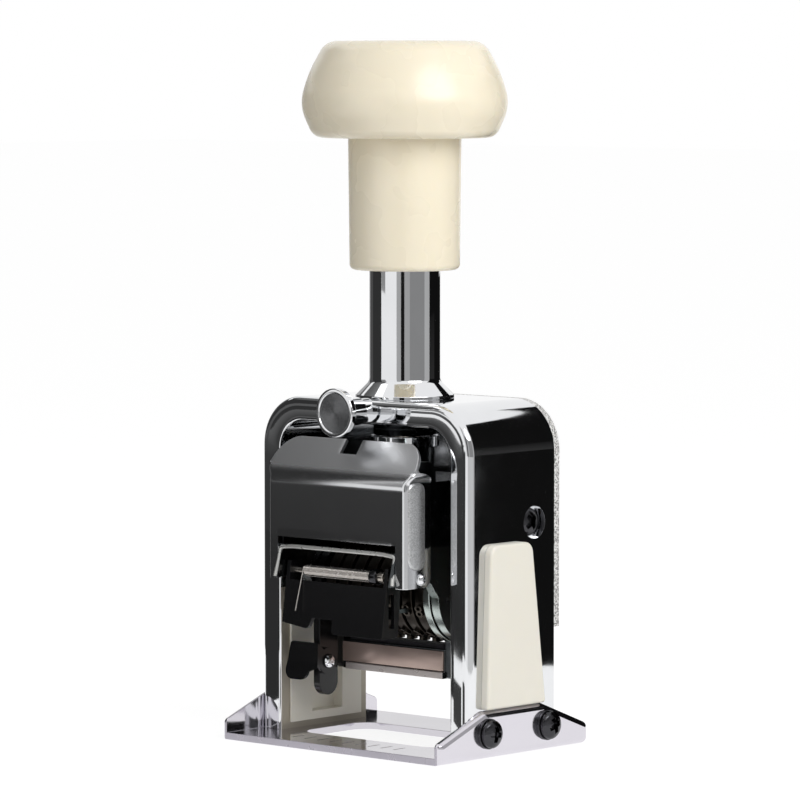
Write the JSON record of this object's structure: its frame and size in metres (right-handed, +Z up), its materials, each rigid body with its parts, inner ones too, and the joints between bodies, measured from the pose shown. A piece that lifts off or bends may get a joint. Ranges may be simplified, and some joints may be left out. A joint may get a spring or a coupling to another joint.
{
  "type": "numbering machine",
  "caption": "Desktop numbering machine with a push knob, chrome arch frame, stepping number wheels and an ink pad that swings clear as the knob goes down.",
  "frame": {"origin": "centre of the base's underside, under the plunger's axis", "axes": "+X to the right seen from the front, +Y to the back, +Z up along the plunger"},
  "size_m": [0.0858, 0.061, 0.19],
  "materials": {
    "chrome_frame": "bright chrome plate",
    "chrome_sheet": "bright chrome plate on sheet",
    "black_steel": "black oxide",
    "cream_plastic": "glossy moulded cream",
    "cream_guide": "satin moulded cream",
    "steel_rod": "ground",
    "spring_steel": "drawn wire",
    "zinc_steel": "bright zinc plate",
    "black_paint": "black enamel",
    "wheel_steel": "engraved steel",
    "ink_felt": "ink-soaked felt"
  },
  "bodies": {
    "frame": {"base_plate": "chrome_sheet", "base_screws": "black_steel", "base_washers": "black_steel", "frame_arch": "chrome_frame", "rear_cover": "chrome_sheet", "side_screws": "black_steel", "rear_screws": "black_steel", "left_guide": "cream_guide", "right_guide": "cream_guide", "neck_tube": "chrome_frame", "neck_nut": "zinc_steel", "return_spring": "spring_steel"},
    "lock": {"lock_button": "chrome_frame"},
    "plunger": {"knob": "cream_plastic", "knob_sleeve": "cream_plastic", "plunger_rod": "steel_rod", "head_collar": "chrome_frame", "head_yoke": "zinc_steel", "wheel_axle": "steel_rod", "front_cover": "chrome_sheet", "cover_rivets": "chrome_frame", "rod_bracket": "zinc_steel", "hinge_rod": "steel_rod"},
    "pawl_frame": {"pawl_block": "black_paint", "pawl_comb": "zinc_steel", "torsion_spring": "spring_steel"},
    "ink_carriage": {"left_pad_arm": "black_paint", "right_pad_arm": "zinc_steel", "pad_tray": "chrome_sheet", "ink_pad": "ink_felt", "lever_rivet": "chrome_frame"},
    "lever": {"finger_lever": "black_paint"},
    "wheel_1": {"number_wheel_1": "wheel_steel"},
    "wheel_2": {"number_wheel_2": "wheel_steel"},
    "wheel_3": {"number_wheel_3": "wheel_steel"},
    "wheel_4": {"number_wheel_4": "wheel_steel"},
    "wheel_5": {"number_wheel_5": "wheel_steel"},
    "wheel_6": {"number_wheel_6": "wheel_steel"},
    "wheel_7": {"number_wheel_7": "wheel_steel"},
    "wheel_8": {"number_wheel_8": "wheel_steel"}
  },
  "joints": [
    {"name": "plunger_slide", "type": "slide", "parent": "frame", "child": "plunger", "axis": [0, 0, -1], "range_m": [0, 0.028], "stiffness_N_per_m": 600, "springref_m": -0.012, "deforming": ["return_spring"]},
    {"name": "lock_slide", "type": "slide", "parent": "frame", "child": "lock", "axis": [0, 1, 0], "range_m": [0, 0.0024]},
    {"name": "carriage_swing", "type": "hinge", "parent": "plunger", "child": "ink_carriage", "pos_m": [0, 0, 0.0418], "axis": [1, 0, 0], "range_deg": [0, 139.5]},
    {"name": "pawl_swing", "type": "hinge", "parent": "plunger", "child": "pawl_frame", "pos_m": [0, -0.0241, 0.0475], "axis": [-1, 0, 0], "range_deg": [0, 10.5]},
    {"name": "lever_lift", "type": "hinge", "parent": "ink_carriage", "child": "lever", "pos_m": [-0.018, -0.0118, 0.0215], "axis": [-1, 0, 0], "range_deg": [0, 8], "stiffness_Nm_per_rad": 0.01, "springref_deg": -17.19},
    {"name": "wheel_spin_1", "type": "hinge", "parent": "plunger", "child": "wheel_1", "pos_m": [0, 0, 0.0418], "axis": [1, 0, 0], "continuous": true},
    {"name": "wheel_spin_2", "type": "hinge", "parent": "plunger", "child": "wheel_2", "pos_m": [0, 0, 0.0418], "axis": [1, 0, 0], "continuous": true},
    {"name": "wheel_spin_3", "type": "hinge", "parent": "plunger", "child": "wheel_3", "pos_m": [0, 0, 0.0418], "axis": [1, 0, 0], "continuous": true},
    {"name": "wheel_spin_4", "type": "hinge", "parent": "plunger", "child": "wheel_4", "pos_m": [0, 0, 0.0418], "axis": [1, 0, 0], "continuous": true},
    {"name": "wheel_spin_5", "type": "hinge", "parent": "plunger", "child": "wheel_5", "pos_m": [0, 0, 0.0418], "axis": [1, 0, 0], "continuous": true},
    {"name": "wheel_spin_6", "type": "hinge", "parent": "plunger", "child": "wheel_6", "pos_m": [0, 0, 0.0418], "axis": [1, 0, 0], "continuous": true},
    {"name": "wheel_spin_7", "type": "hinge", "parent": "plunger", "child": "wheel_7", "pos_m": [0, 0, 0.0418], "axis": [1, 0, 0], "continuous": true},
    {"name": "wheel_spin_8", "type": "hinge", "parent": "plunger", "child": "wheel_8", "pos_m": [0, 0, 0.0418], "axis": [1, 0, 0], "continuous": true}
  ],
  "couplings": [
    {"joint": "carriage_swing", "follows": "plunger_slide", "rad_per_m": 86.643},
    {"joint": "pawl_swing", "follows": "plunger_slide", "rad_per_m": 6.2333}
  ]
}
